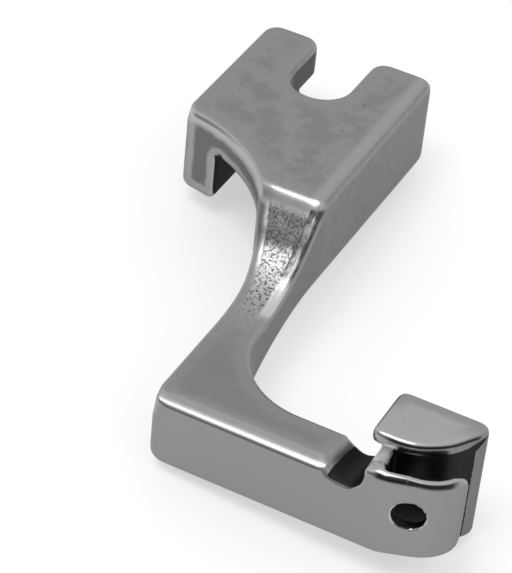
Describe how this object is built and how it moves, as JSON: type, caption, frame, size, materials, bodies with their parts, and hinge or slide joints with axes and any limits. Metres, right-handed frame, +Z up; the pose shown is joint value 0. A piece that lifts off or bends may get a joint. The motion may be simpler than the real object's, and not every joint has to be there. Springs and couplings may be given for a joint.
{
  "type": "sewing machine presser foot",
  "caption": "One-piece steel foot that presses fabric under a sewing machine needle, with a slotted shank block, a curved neck, a sole bar and a two-plate toe with a needle hole.",
  "frame": {"origin": "centre of the footprint, on the floor the foot lies on", "axes": "+Z up with the foot at rest on its side, +Y from the sole towards the prongs' free ends, +X from the heel towards the toe"},
  "size_m": [0.0302, 0.0344, 0.0092],
  "materials": {
    "polished_steel": "polished to a soft grey gloss, left rough and darker in the neck's hollow and on the arch"
  },
  "bodies": {
    "root": {"presser_foot": "polished_steel"}
  },
  "joints": []
}
